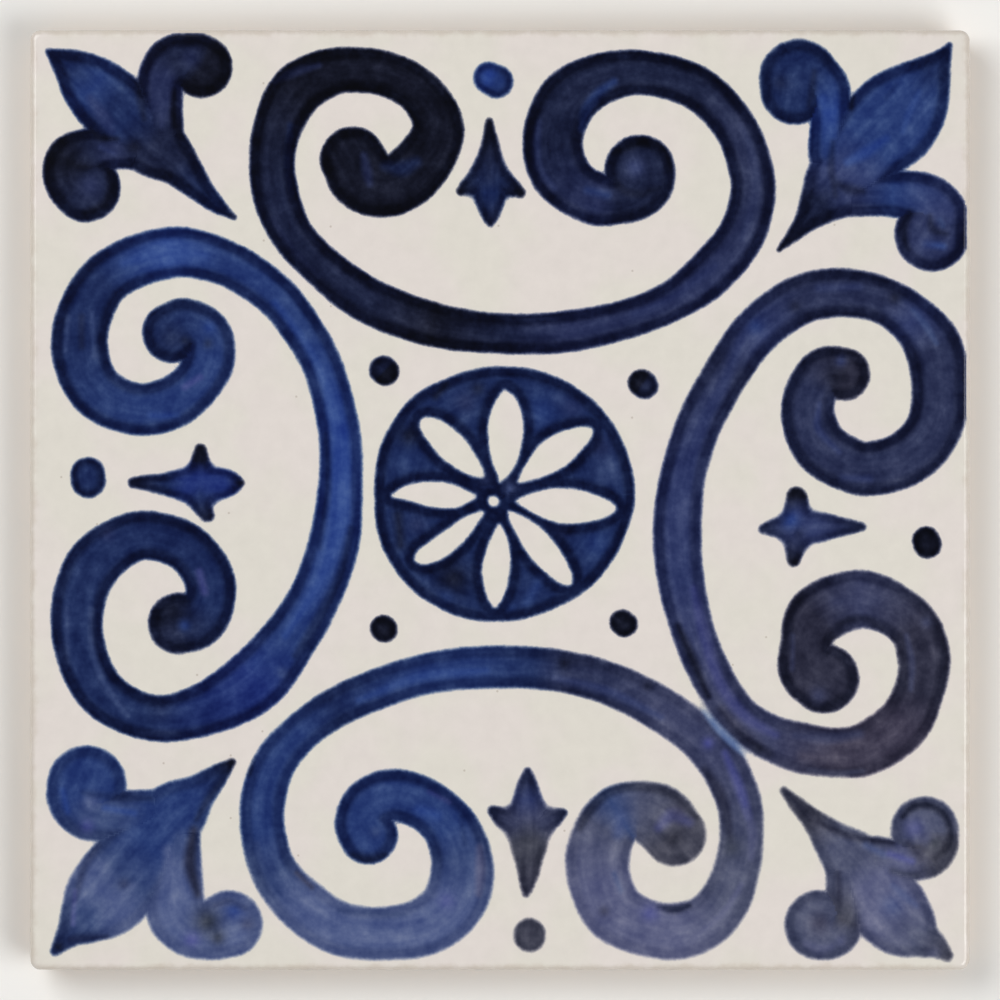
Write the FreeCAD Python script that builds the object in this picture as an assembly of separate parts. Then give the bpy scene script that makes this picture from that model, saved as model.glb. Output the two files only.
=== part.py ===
import FreeCAD
import Part

import math
import os

from FreeCAD import Vector

# One azulejo: a square wall tile of fired earthenware, glazed on its face.
# The tile lies on its back. The origin is the middle of the back, +Z points
# out of the glazed face and +Y to the top of the painted pattern.
# All sizes are in millimetres.

# Body
face_side = 140.0           # across the tile at its widest, edge to edge
thickness = 8.0             # from the back ribs to the glazed face
bevel_height = 4.6          # height of the undercut part of each side wall
edge_undercut = 1.1         # how far the back edge lies inside the face edge
arris_radius = 1.0          # round of the glazed edge
face_corner_radius = 0.5    # corner of the flat face, inside the arris
back_edge_break = 0.4       # chamfer round the back, where a sharp edge would chip

# Waffle of shallow pockets in the back, which keys into the mortar
pockets_per_side = 6        # even, so that ribs cross at the middle of the back
pocket_depth = 0.9
rib_width = 4.0             # rib between two pockets, at the back face
rim_width = 8.0             # plain border round the waffle, at the back face
pocket_draft = 35.0         # slope of the pocket walls, in degrees from upright
pocket_corner_radius = 1.5  # at the floor of a pocket
cut_overrun = 0.5           # how far a cutting solid reaches out of the back

# Sizes that follow from those above
plan_corner_radius = face_corner_radius + arris_radius
back_side = face_side - 2 * edge_undercut
pocket_pitch = (back_side - 2 * rim_width + rib_width) / pockets_per_side
pocket_mouth = pocket_pitch - rib_width
wall_slope = math.tan(math.radians(pocket_draft))


def rounded_square(side, corner_radius, height):
    # Outline of a level square with round corners, centred on the Z axis.
    half = side / 2
    straight = half - corner_radius
    middle = straight + corner_radius * math.sqrt(0.5)
    edges = []
    for quarter in range(4):
        turn = FreeCAD.Rotation(Vector(0, 0, 1), 90 * quarter)

        def point(x, y):
            return turn.multVec(Vector(x, y, height))

        side_line = Part.LineSegment(point(half, -straight), point(half, straight))
        corner_arc = Part.Arc(point(half, straight), point(middle, middle), point(straight, half))
        edges += [side_line.toShape(), corner_arc.toShape()]
    return Part.Wire(edges)


def level_edges(solid, height):
    # Edges of a solid that lie wholly at one height.
    flat = 1e-6
    return [
        edge
        for edge in solid.Edges
        if abs(edge.BoundBox.ZMin - height) < flat and abs(edge.BoundBox.ZMax - height) < flat
    ]


def tile_body():
    # Eased back edge, undercut side wall, upright joint face above it and round arris.
    back = rounded_square(back_side - 2 * back_edge_break, plan_corner_radius, 0)
    heel = rounded_square(back_side, plan_corner_radius, back_edge_break)
    shoulder = rounded_square(face_side, plan_corner_radius, bevel_height)
    undercut = Part.makeLoft([back, heel, shoulder], True, True)
    upright = Part.Face(shoulder).extrude(Vector(0, 0, thickness - bevel_height))
    body = undercut.fuse(upright).removeSplitter()
    return body.makeFillet(arris_radius, level_edges(body, thickness))


def pocket(x, y):
    # Solid that cuts one pocket: a shallow pyramid stump, narrowing upwards from the back.
    def outline(height):
        taper = (pocket_depth - height) * wall_slope
        floor_side = pocket_mouth - 2 * pocket_depth * wall_slope
        return rounded_square(floor_side + 2 * taper, pocket_corner_radius + taper, height)

    stump = Part.makeLoft([outline(-cut_overrun), outline(pocket_depth)], True, True)
    stump.translate(Vector(x, y, 0))
    return stump


def waffle():
    # All the pockets, in rows and columns about the middle of the back.
    places = [(step - (pockets_per_side - 1) / 2) * pocket_pitch for step in range(pockets_per_side)]
    return Part.makeCompound([pocket(x, y) for x in places for y in places])


def tile():
    return tile_body().cut(waffle()).removeSplitter()


def main():
    os.makedirs("parts", exist_ok=True)
    shape = tile()
    solid = shape.Solids[0]
    print("tile: solids", len(shape.Solids), "valid", solid.isValid())
    print("tile: volume", round(solid.Volume / 1000, 2), "cm3")
    solid.exportStep("parts/tile.step")


main()
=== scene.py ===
import math

import bpy
import numpy as np
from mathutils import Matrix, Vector


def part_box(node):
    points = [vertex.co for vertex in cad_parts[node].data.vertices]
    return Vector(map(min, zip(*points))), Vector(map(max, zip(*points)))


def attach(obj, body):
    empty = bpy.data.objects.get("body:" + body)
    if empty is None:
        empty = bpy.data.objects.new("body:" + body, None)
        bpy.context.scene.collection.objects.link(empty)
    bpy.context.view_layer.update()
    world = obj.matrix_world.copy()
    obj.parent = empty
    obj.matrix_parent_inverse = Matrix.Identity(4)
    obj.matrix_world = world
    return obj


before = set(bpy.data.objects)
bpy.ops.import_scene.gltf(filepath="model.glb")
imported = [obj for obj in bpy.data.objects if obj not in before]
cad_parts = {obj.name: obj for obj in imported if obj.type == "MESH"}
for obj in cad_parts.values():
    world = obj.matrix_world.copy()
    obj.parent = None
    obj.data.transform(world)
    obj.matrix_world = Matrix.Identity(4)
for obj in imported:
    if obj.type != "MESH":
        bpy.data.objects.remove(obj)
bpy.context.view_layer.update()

# One hand-painted azulejo: the fired tile comes from model.glb, and this script glazes it and paints it.
# The pattern is written in millimetres from the middle of the face, +x right and +y up.
mm = 0.001
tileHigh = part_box("tile")[1]
faceHeight = tileHigh.z / mm
halfSide = tileHigh.x / mm
print(f"tile loaded: {2 * halfSide:.1f} mm across, face {faceHeight:.1f} mm above the back")

# paint colours as they look on screen under plain light, where the paint lies one coat thick; the motifs take
# darker ones at the top and paler, greyer ones towards the bottom and the bottom right
pigments = {
    "ink": (16, 19, 35),
    "midnight": (25, 32, 60),
    "prussian": (27, 42, 86),
    "navy": (39, 47, 84),
    "cobalt": (38, 58, 112),
    "bright": (47, 72, 138),
    "indigo": (41, 48, 80),
    "hyacinth": (49, 59, 102),
    "royal": (31, 48, 112),
    "charcoal": (45, 46, 65),
    "plum": (61, 58, 77),
    "dusk": (60, 65, 97),
    "steel": (58, 74, 118),
    "slate": (79, 92, 135),
    "pewter": (78, 83, 109),
    "mist": (91, 95, 128),
    "ash": (72, 73, 88),
    "iris": (80, 84, 146),
    "soot": (50, 55, 66),
    "sky": (108, 132, 180),
}

# the paint lies in the glaze as a thin film: sizes in millimetres
coat = {
    "mesh": 0.3,        # spacing of the film's points
    "film": 0.03,       # how far a broad stroke stands proud
    "shoulder": 0.9,    # how fast the film thickens from its edge
    "rim": 0.008,       # film left at the very edge
    "sink": 0.06,       # how deep the film reaches into the glaze
    "bleed": 0.32,      # how far the colour creeps out past the drawn line
    "full": 0.5,        # how far inside the line the coat is whole
    "wobble": 0.06,     # unsteadiness of the hand
    "web": 0.3,         # fill of the corner where strokes join, unless the motif has its own
    "blend": 0.7,       # how far colours run into each other where strokes join
    "restart": 37.0,    # how far on in the streaks each next stroke starts
    "crease": 35.0,     # degrees from which an edge of the film stays sharp
    "arris": 1.0,       # round of the tile's edge, which the film follows
    "margin": 0.25,     # bare edge of the tile
    "drop": 0.2,        # how far the whole drawing sits below the middle
}
noBrush = -99.0         # depth of a place that no brush came near

# Paint gathers inside its edge as it dries and is darker there. A motif's "line" says how much darker (one
# number, or five evenly along each stroke), how far in that holds, and over what width it fades.
gather = {
    "takes": np.array([1.0, 0.96, 0.82]),    # red, green and blue light lost at full strength
    "pale": (0.028, 0.06),    # red light over which a wash comes to gather less
    "paleLoss": 0.5,
}


# screen value to linear light, by the usual curve: straight near black, a power of 2.4 above
def linear(rgb):
    v = np.asarray(rgb, float) / 255
    return np.where(v <= 0.04045, v / 12.92, ((v + 0.055) / 1.055) ** 2.4)


# 0 below a, 1 above b and a smooth S between
def eased(v, a, b):
    t = np.clip((v - a) / (b - a), 0.0, 1.0)
    return t * t * (3 - 2 * t)


# Smooth line through stations (x, y, half width): cubic spans, each with the slope of the parabola through
# a station and its neighbours, knots spaced by the root of the chord, then points at an even step.
def brushLine(stations, step=0.3):
    marks = np.array([station[:3] for station in stations], float)
    span = np.sqrt(np.hypot(*np.diff(marks[:, :2], axis=0).T))
    knot = np.concatenate([[0.0], np.cumsum(span)])
    rate = np.diff(marks, axis=0) / span[:, None]
    before, after = span[:-1, None], span[1:, None]
    bend = (rate[:-1] * after + rate[1:] * before) / (before + after)
    slope = np.concatenate([rate[:1], bend, rate[-1:]])
    t = np.linspace(0.0, knot[-1], 40 * len(marks))
    i = np.clip(np.searchsorted(knot, t, side="right") - 1, 0, len(span) - 1)
    h = span[i][:, None]
    u = (t[:, None] - knot[i][:, None]) / h
    line = ((2 * u**3 - 3 * u**2 + 1) * marks[i] + (u**3 - 2 * u**2 + u) * h * slope[i]
            + (3 * u**2 - 2 * u**3) * marks[i + 1] + (u**3 - u**2) * h * slope[i + 1])
    run = np.concatenate([[0.0], np.cumsum(np.hypot(*np.diff(line[:, :2], axis=0).T))])
    even = np.linspace(0.0, run[-1], max(3, int(run[-1] / step) + 1))
    points = np.stack([np.interp(even, run, line[:, k]) for k in range(3)], axis=1)
    return points, even, np.interp(knot, t, run)


# Reads one stroke at points (x, y). Depth is the brush's half width less the distance to its path, the
# largest along the path. Along is the distance run to that place, across the signed distance from it.
def readStroke(x, y, stations):
    line, run, marks = brushLine(stations)
    tangent = np.gradient(line[:, :2], run, axis=0)
    tangent /= np.hypot(*tangent.T)[:, None]
    swell = np.gradient(line[:, 2], run)
    depth = np.full(x.shape, noBrush)
    nearest = np.zeros(x.shape, int)
    margin = line[:, 2].max() + 2.0
    # short lengths of the path in turn, each with the points near it
    for part in np.array_split(np.arange(len(line)), max(1, len(line) // 30)):
        low, high = line[part, :2].min(0) - margin, line[part, :2].max(0) + margin
        close = np.flatnonzero((x > low[0]) & (x < high[0]) & (y > low[1]) & (y < high[1]))
        if len(close) == 0:
            continue
        reach = line[part, 2] - np.hypot(x[close, None] - line[part, 0], y[close, None] - line[part, 1])
        pick = reach.argmax(1)
        value = reach[np.arange(len(close)), pick]
        better = value > depth[close]
        depth[close[better]] = value[better]
        nearest[close[better]] = part[pick[better]]
    # from the nearest point of the path to the nearest place between points
    offset = np.stack([x, y], -1) - line[nearest, :2]
    ahead = (offset * tangent[nearest]).sum(-1)
    across = tangent[nearest, 0] * offset[:, 1] - tangent[nearest, 1] * offset[:, 0]
    half = run[1] / 2
    slide = np.clip(ahead, np.where(nearest == 0, 0, -half), np.where(nearest == len(line) - 1, 0, half))
    finer = line[nearest, 2] + swell[nearest] * slide - np.hypot(ahead - slide, across)
    return np.where(depth > noBrush, finer, depth), run[nearest] + slide, across, marks


# the greater of two depths, with the corner between them filled over a width of web
def webbed(a, b, web):
    h = np.clip(0.5 + 0.5 * (b - a) / web, 0.0, 1.0)
    return a * (1 - h) + b * h + web * h * (1 - h)


# slow unsteadiness of the outline: a sum of waves that cross at odd angles, from -1 to 1
def handWobble(x, y):
    waves = np.sin(1.31 * x + 0.47 * y + 0.6) + np.sin(-0.83 * x + 1.17 * y + 2.1)
    finer = np.sin(2.3 * x - 1.9 * y + 4.0) + np.sin(1.7 * x + 2.6 * y + 5.2)
    return (waves + 0.6 * finer) / 3.2


# finished outline: the drawn depth with the wobble, and nothing past the margin of the tile
def trimmed(depth, x, y):
    edge = halfSide - coat["margin"] - coat["bleed"] - np.maximum(np.abs(x), np.abs(y - coat["drop"]))
    return np.minimum(depth + coat["wobble"] * handWobble(x, y), edge)


# colour along a stroke: pigments named at stations, blended by distance from one named station to the next
def washAlong(stations, marks, along):
    named = [(at, linear(pigments[station[3]])) for at, station in zip(marks, stations) if len(station) > 3]
    places = [at for at, tone in named]
    tones = np.array([tone for at, tone in named])
    return np.stack([np.interp(along, places, tones[:, c]) for c in range(3)], -1)


# Touches of a second colour over a wash: (pigment, strength, half width, places). A touch at one place is
# a blot and pulls the wash by a bell curve of the distance; one through more is a short stroke, thinner at
# both ends, and pulls by an S curve of the depth in it.
def layTouches(motif, x, y, wash):
    tip, soft = 0.6, 0.8    # shares of the width: brush at both ends, edge to either side
    for pigment, strength, width, *places in motif.get("touches", []):
        if len(places) == 1:
            share = np.exp(-((x - places[0][0]) ** 2 + (y - places[0][1]) ** 2) / width**2)
        else:
            ends = (0, len(places) - 1)
            stations = [(*place, width * (tip if i in ends else 1.0)) for i, place in enumerate(places)]
            share = eased(readStroke(x, y, stations)[0], -soft * width, soft * width)
        wash = wash + (linear(pigments[pigment]) - wash) * (strength * share)[:, None]
    return wash


# Depth, colour, brush direction and gathering of a whole motif at points (x, y). Depths join by webbed.
# Colours and gathering are averaged by how deep each stroke lies there; the deepest gives the direction.
def readMotif(motif, x, y, coloured):
    depth = np.full(x.shape, noBrush)
    deepest = depth
    weight = 0.0
    wash = 0.0
    pool = 0.0
    brush = np.zeros((len(x), 2))
    strength = np.broadcast_to(motif["line"][0], (len(motif["strokes"]), 5))
    for i, stations in enumerate(motif["strokes"]):
        inside, along, across, marks = readStroke(x, y, stations)
        depth = webbed(depth, inside, motif.get("web", coat["web"]))
        if coloured:
            share = np.exp(np.clip(inside, -20, 20) / coat["blend"])
            weight = weight + share
            wash = wash + washAlong(stations, marks, along) * share[:, None]
            pool = pool + np.interp(along, np.linspace(0.0, marks[-1], 5), strength[i]) * share
            streaks = np.stack([along + coat["restart"] * i, across], -1)
            brush = np.where((inside > deepest)[:, None], streaks, brush)
            deepest = np.maximum(deepest, inside)
    depth = trimmed(depth, x, y)
    if not coloured:
        return depth
    return depth, layTouches(motif, x, y, wash / weight[:, None]), brush, pool / weight


# height of the tile's glazed surface: flat, and a quarter round of the arris radius at the edge
def faceAt(x, y):
    flat = halfSide - coat["arris"]
    past = np.hypot(np.maximum(np.abs(x) - flat, 0), np.maximum(np.abs(y) - flat, 0))
    return faceHeight - coat["arris"] + np.sqrt(np.maximum(coat["arris"] ** 2 - past**2, 0))


# Grid points just outside move onto the outline: each sweep takes a point along the slope of the depth,
# by its depth over that slope, and never far from its own place.
def slideToOutline(outline, x, y):
    probe = 0.03
    flattest = 0.3
    furthest = 1.3 * coat["mesh"]
    rx, ry = x, y
    for sweep in range(3):
        here = outline(rx, ry)
        sx = (outline(rx + probe, ry) - here) / probe
        sy = (outline(rx, ry + probe) - here) / probe
        steep = np.maximum(sx**2 + sy**2, flattest)
        rx = np.clip(rx - here * sx / steep, x - furthest, x + furthest)
        ry = np.clip(ry - here * sy / steep, y - furthest, y + furthest)
    return rx, ry


# Closed film: the top's triangles, the same turned over on a second set of points, and a wall of two
# triangles along each edge that only one triangle has.
def closeFilm(top, count):
    edges = np.concatenate([top[:, [0, 1]], top[:, [1, 2]], top[:, [2, 0]]])
    key = np.sort(edges, 1) @ np.array([count, 1])
    order, seen = np.unique(key, return_counts=True)
    free = edges[np.isin(key, order[seen == 1])]
    a, b = free[:, 0], free[:, 1]
    wall = np.concatenate([np.stack([a, a + count, b + count], 1), np.stack([a, b + count, b], 1)])
    return np.concatenate([top, top[:, ::-1] + count, wall])


# a new thing in the scene, made of its data
def putIn(name, data):
    thing = bpy.data.objects.new(name, data)
    bpy.context.scene.collection.objects.link(thing)
    return thing


# Film of paint as a height over a grid of (x, y): it rises from the edge as 1 - exp(-depth / shoulder).
# Cells with a corner inside are kept, corners outside slide onto the outline, and the film is closed below.
def layCoat(name, reader, box, motif, material):
    def outline(px, py):
        return reader(px, py, False) + coat["bleed"]

    step = coat["mesh"]
    gx, gy = np.meshgrid(np.arange(box[0], box[2] + step, step), np.arange(box[1], box[3] + step, step))
    shape = gx.shape
    x, y = gx.ravel(), gy.ravel()
    depth = outline(x, y)
    deep = (depth > 0.3 * step).reshape(shape)    # inside, by a good part of a step
    # cells that meet only at a corner are joined round it
    for sweep in range(3):
        cell = deep[:-1, :-1] | deep[1:, :-1] | deep[:-1, 1:] | deep[1:, 1:]
        here, ahead, beside, across = cell[:-1, :-1], cell[1:, 1:], cell[1:, :-1], cell[:-1, 1:]
        deep[1:-1, 1:-1] |= (here == ahead) & (beside == across) & (here != beside)
    used = np.zeros(shape, bool)
    for a, b in ((0, 0), (1, 0), (0, 1), (1, 1)):
        used[a:shape[0] - 1 + a, b:shape[1] - 1 + b] |= cell
    rim = np.flatnonzero((used & ~deep).ravel())
    x[rim], y[rim] = slideToOutline(outline, x[rim], y[rim])
    # two triangles a cell, split from its deepest corner
    row, col = np.nonzero(cell)
    corner = np.stack([row * shape[1] + col, row * shape[1] + col + 1,
                       (row + 1) * shape[1] + col + 1, (row + 1) * shape[1] + col], 1)
    turn = depth[corner].argmax(1)
    corner = corner[np.arange(len(corner))[:, None], (np.arange(4) + turn[:, None]) % 4]
    top = np.concatenate([corner[:, [0, 1, 2]], corner[:, [0, 2, 3]]])
    keep, top = np.unique(top, return_inverse=True)
    x, y = x[keep], y[keep]
    count = len(x)
    faces = closeFilm(top.reshape(-1, 3), count)
    # colour, darker by what gathers inside the edge
    depth, wash, brush, pool = reader(x, y, True)
    place, width = motif["line"][1:]
    pool = pool * (1 - gather["paleLoss"] * eased(wash[:, 0], *gather["pale"]))
    pool = pool * np.exp(-(np.clip(depth - place, 0.0, None) / width) ** 2)
    wash = wash * (1 - pool[:, None] * gather["takes"])
    # height over the glaze, and the underside within it
    creep = np.where(np.isin(keep, rim), 0.0, np.maximum(depth + coat["bleed"], 0.0))
    rise = coat["rim"] + coat["film"] * (1 - np.exp(-creep / coat["shoulder"]))
    y = y - coat["drop"]
    upper = np.stack([x, y, faceAt(x, y) + rise], 1)
    lower = np.stack([x, y, faceAt(x, y) - coat["sink"]], 1)
    mesh = bpy.data.meshes.new(name)
    mesh.from_pydata(np.concatenate([upper, lower]) * mm, [], faces)
    tint = mesh.attributes.new("wash", "FLOAT_COLOR", "POINT")
    tint.data.foreach_set("color", np.tile(np.column_stack([wash, np.ones(count)]), (2, 1)).ravel())
    lay = mesh.attributes.new("brush", "FLOAT_VECTOR", "POINT")    # along, across, in from the edge
    lay.data.foreach_set("vector", np.tile(np.column_stack([brush, creep]), (2, 1)).ravel())
    mesh.polygons.foreach_set("use_smooth", np.ones(len(faces), bool))
    mesh.set_sharp_from_angle(angle=math.radians(coat["crease"]))
    mesh.materials.append(material)
    piece = putIn(name, mesh)
    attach(piece, "root")
    print(f"{name}: {len(faces)} triangles")


# lays a motif made of strokes, in the box of its stations with room for the brush
def paintStrokes(name, motif, material):
    marks = np.array([station[:3] for stroke in motif["strokes"] for station in stroke])
    reach = marks[:, 2].max() + 1.5

    def reader(x, y, coloured):
        return readMotif(motif, x, y, coloured)

    layCoat(name, reader, (*(marks[:, :2].min(0) - reach), *(marks[:, :2].max(0) + reach)), motif, material)


# adds a node with its settings, and links or sets its inputs
def addNode(tree, kind, inputs=None, **settings):
    node = tree.nodes.new(kind)
    for key, value in settings.items():
        setattr(node, key, value)
    for key, value in (inputs or {}).items():
        if isinstance(value, bpy.types.NodeSocket):
            tree.links.new(value, node.inputs[key])
        else:
            node.inputs[key].default_value = value
    return node


# one sum on numbers, by the node's own name for it
def maths(tree, operation, *values):
    return addNode(tree, "ShaderNodeMath", dict(enumerate(values)), operation=operation).outputs[0]


# the same on colours, channel by channel
def vectorMaths(tree, operation, *values):
    return addNode(tree, "ShaderNodeVectorMath", dict(enumerate(values)), operation=operation).outputs[0]


# a smooth S from floor, where the value is low, to ceiling, where it is high
def softStep(tree, value, low, high, floor=0.0, ceiling=1.0):
    return addNode(tree, "ShaderNodeMapRange", {
        "Value": value, "From Min": low, "From Max": high, "To Min": floor, "To Max": ceiling},
        interpolation_type="SMOOTHSTEP").outputs["Result"]


# the colour a share of the way from a to b, which are sockets or screen colours
def blendColour(tree, share, a, b):
    values = [value if isinstance(value, bpy.types.NodeSocket) else (*linear(value), 1.0) for value in (a, b)]
    inputs = {0: share, 6: values[0], 7: values[1]}
    return addNode(tree, "ShaderNodeMix", inputs, data_type="RGBA").outputs[2]


# cloudy value about a half, with features of a size in the unit of its place
def cloud(tree, place, size, detail=2.0, rough=0.5, space="2D"):
    return addNode(tree, "ShaderNodeTexNoise", {
        "Vector": place, "Scale": 1 / size, "Detail": detail, "Roughness": rough},
        noise_dimensions=space).outputs["Fac"]


# tin glaze: screen colours, sizes in millimetres
glaze = {
    "pink": (222, 214, 208),
    "straw": (220, 215, 205),
    "thin": (204, 192, 179),     # over the edge, where the body shows through
    "speck": (150, 134, 116),
    "patch": 14.0,
    "mottle": 2.6,
    "mottleShade": 0.09,         # light between the palest and the darkest mottle
    "edgeBand": 1.2,
    "edgeRagged": 1.6,
    "edgeShare": 0.7,
    "holeSpacing": 5.0,          # a pinhole may lie this far from the next
    "holeReach": (0.02, 0.045),  # its radius and soft rim, as shares of the spacing
    "holeShare": 0.4,
    "holeless": 0.92,            # share of the places left without one
    "holeFall": 0.3,             # how far below the face they may lie
    "roughness": 0.16,
    "waveSize": 9.0,
    "waveHeight": 0.02,
}

# bare fired clay: screen colours, sizes in millimetres
biscuit = {
    "pale": (214, 184, 148),
    "dark": (186, 150, 113),
    "grit": (120, 92, 70),
    "patch": 9.0,
    "gritSpacing": 1.6,
    "gritReach": (0.1, 0.22),    # radius and soft rim of a grain, as shares of the spacing
    "gritShare": 0.35,
    "pitHeight": 2.0,            # of its pits, as a share of the glaze's waves
    "runSize": 7.0,              # width of the runs of glaze down the sides
    "runHeight": (2.4, 4.1),     # their spread, and how high the lowest of them ends
    "runSoft": 0.1,
    "roughness": 0.85,
}

# brushed paint: sizes in millimetres, shares of one coat's thickness
paint = {
    "hair": 1.9,                 # width of a streak, and a tenth of its length
    "hairStretch": 0.1,
    "hairShare": 0.5,
    "puddle": 3.2,
    "puddleShare": 0.6,
    "grain": 0.7,
    "grainShare": 0.2,
    "least": 0.35,               # thickness under all of these
    "fray": 0.2,                 # how far the grain frays the edge
    "bare": 0.09,                # edge that stays bare
}


# Glaze colour and surface height from Object coordinates: broad patches, fine mottle, sparse pinholes, and
# a thin line where the distance to the tile's edge is small.
def glazeSockets(tree):
    place = addNode(tree, "ShaderNodeTexCoord").outputs["Object"]
    part = addNode(tree, "ShaderNodeSeparateXYZ", {"Vector": place})
    patch = softStep(tree, cloud(tree, place, glaze["patch"] * mm), 0.35, 0.65)
    colour = blendColour(tree, patch, glaze["pink"], glaze["straw"])
    mottle = cloud(tree, place, glaze["mottle"] * mm, 3.0, 0.6)
    shade = maths(tree, "MULTIPLY_ADD", mottle, glaze["mottleShade"], 1 - glaze["mottleShade"] / 2)
    colour = addNode(tree, "ShaderNodeVectorMath", {0: colour, 3: shade}, operation="SCALE").outputs[0]
    ax = maths(tree, "ABSOLUTE", part.outputs["X"])
    ay = maths(tree, "ABSOLUTE", part.outputs["Y"])
    inset = maths(tree, "SUBTRACT", halfSide * mm, maths(tree, "MAXIMUM", ax, ay))
    ragged = maths(tree, "MULTIPLY_ADD", mottle, glaze["edgeRagged"] * mm, -glaze["edgeRagged"] / 2 * mm)
    inset = maths(tree, "ADD", inset, ragged)
    band = softStep(tree, inset, 0.0, glaze["edgeBand"] * mm, glaze["edgeShare"], 0.0)
    colour = blendColour(tree, band, colour, glaze["thin"])
    cells = addNode(tree, "ShaderNodeTexVoronoi", {"Vector": place, "Scale": 1 / (glaze["holeSpacing"] * mm)},
                    voronoi_dimensions="2D")
    pick = addNode(tree, "ShaderNodeSeparateColor", {"Color": cells.outputs["Color"]}).outputs[0]
    hole = softStep(tree, cells.outputs["Distance"], *glaze["holeReach"], glaze["holeShare"], 0.0)
    hole = maths(tree, "MULTIPLY", hole, maths(tree, "GREATER_THAN", pick, glaze["holeless"]))
    onFace = maths(tree, "GREATER_THAN", part.outputs["Z"], (faceHeight - glaze["holeFall"]) * mm)
    hole = maths(tree, "MULTIPLY", hole, onFace)
    colour = blendColour(tree, hole, colour, glaze["speck"])
    wave = cloud(tree, place, glaze["waveSize"] * mm, 0.0)
    return {"place": place, "height": part.outputs["Z"], "colour": colour, "mottle": mottle, "wave": wave}


# empty material and its nodes
def newMaterial(name):
    material = bpy.data.materials.new(name)
    material.use_nodes = True
    material.node_tree.nodes.clear()
    return material, material.node_tree


# one glossy or dull surface, tilted by the slope of a height times the waves' size
def surface(tree, colour, roughness, height):
    size = glaze["waveHeight"] * mm
    bump = addNode(tree, "ShaderNodeBump", {"Height": height, "Strength": 1.0, "Distance": size})
    shader = addNode(tree, "ShaderNodeBsdfPrincipled", {
        "Base Color": colour, "Roughness": roughness, "IOR": 1.5, "Normal": bump.outputs[0]})
    addNode(tree, "ShaderNodeOutputMaterial", {"Surface": shader.outputs[0]})


# Face and upper edge glazed, lower edge and back bare clay. The line between is ragged: clay shows where
# the height is less than that at which the glaze ran out, a cloudy value.
def tileMaterial():
    material, tree = newMaterial("tinGlaze")
    ground = glazeSockets(tree)
    place = ground["place"]
    spread, lowest = biscuit["runHeight"]
    runs = maths(tree, "MULTIPLY_ADD", cloud(tree, place, biscuit["runSize"] * mm), spread * mm, lowest * mm)
    under = maths(tree, "SUBTRACT", runs, ground["height"])
    bare = softStep(tree, under, -biscuit["runSoft"] * mm, biscuit["runSoft"] * mm)
    patch = cloud(tree, place, biscuit["patch"] * mm, 3.0, 0.65, "3D")
    clay = blendColour(tree, patch, biscuit["dark"], biscuit["pale"])
    spacing = biscuit["gritSpacing"] * mm
    grains = addNode(tree, "ShaderNodeTexVoronoi", {"Vector": place, "Scale": 1 / spacing})
    grit = softStep(tree, grains.outputs["Distance"], *biscuit["gritReach"], 1.0, 0.0)
    clay = blendColour(tree, maths(tree, "MULTIPLY", grit, biscuit["gritShare"]), clay, biscuit["grit"])
    colour = blendColour(tree, bare, ground["colour"], clay)
    gloss = glaze["roughness"]
    roughness = maths(tree, "MULTIPLY_ADD", bare, biscuit["roughness"] - gloss, gloss)
    pits = maths(tree, "MULTIPLY", maths(tree, "SUBTRACT", ground["mottle"], grit), bare)
    surface(tree, colour, roughness, maths(tree, "MULTIPLY_ADD", pits, biscuit["pitHeight"], ground["wave"]))
    return material


# Painted glaze: the glaze's own colour, darkened towards the wash by the thickness of the coat, as ink in
# water does: glaze times (wash / glaze) to the power of the thickness. The coat streaks along the brush,
# puddles and grains, and thins out over its edge.
def paintMaterial():
    material, tree = newMaterial("cobaltPaint")
    ground = glazeSockets(tree)
    place = ground["place"]
    wash = addNode(tree, "ShaderNodeAttribute", attribute_name="wash")
    brush = addNode(tree, "ShaderNodeAttribute", attribute_name="brush")
    lay = addNode(tree, "ShaderNodeSeparateXYZ", {"Vector": brush.outputs["Vector"]})
    along = maths(tree, "MULTIPLY", lay.outputs["X"], paint["hairStretch"])
    hairs = addNode(tree, "ShaderNodeCombineXYZ", {"X": along, "Y": lay.outputs["Y"]}).outputs[0]
    streak = cloud(tree, hairs, paint["hair"])
    puddle = cloud(tree, place, paint["puddle"] * mm, 2.0, 0.6)
    grain = cloud(tree, place, paint["grain"] * mm, 2.0, 0.6)
    uneven = maths(tree, "MULTIPLY_ADD", puddle, paint["puddleShare"], paint["least"])
    uneven = maths(tree, "MULTIPLY_ADD", streak, paint["hairShare"], uneven)
    uneven = maths(tree, "MULTIPLY_ADD", grain, paint["grainShare"], uneven)
    frayed = maths(tree, "MULTIPLY_ADD", grain, paint["fray"], lay.outputs["Z"])
    cover = softStep(tree, frayed, paint["bare"], paint["bare"] + coat["bleed"] + coat["full"])
    thick = maths(tree, "MULTIPLY", cover, uneven)
    share = vectorMaths(tree, "DIVIDE", wash.outputs["Color"], ground["colour"])
    stain = vectorMaths(tree, "POWER", share, thick)
    colour = vectorMaths(tree, "MULTIPLY", ground["colour"], stain)
    surface(tree, colour, glaze["roughness"], ground["wave"])
    return material


glazed = tileMaterial()
painted = paintMaterial()
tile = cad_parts["tile"]
tile.data.materials.clear()
tile.data.materials.append(glazed)
print("glaze and paint mixed")

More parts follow.
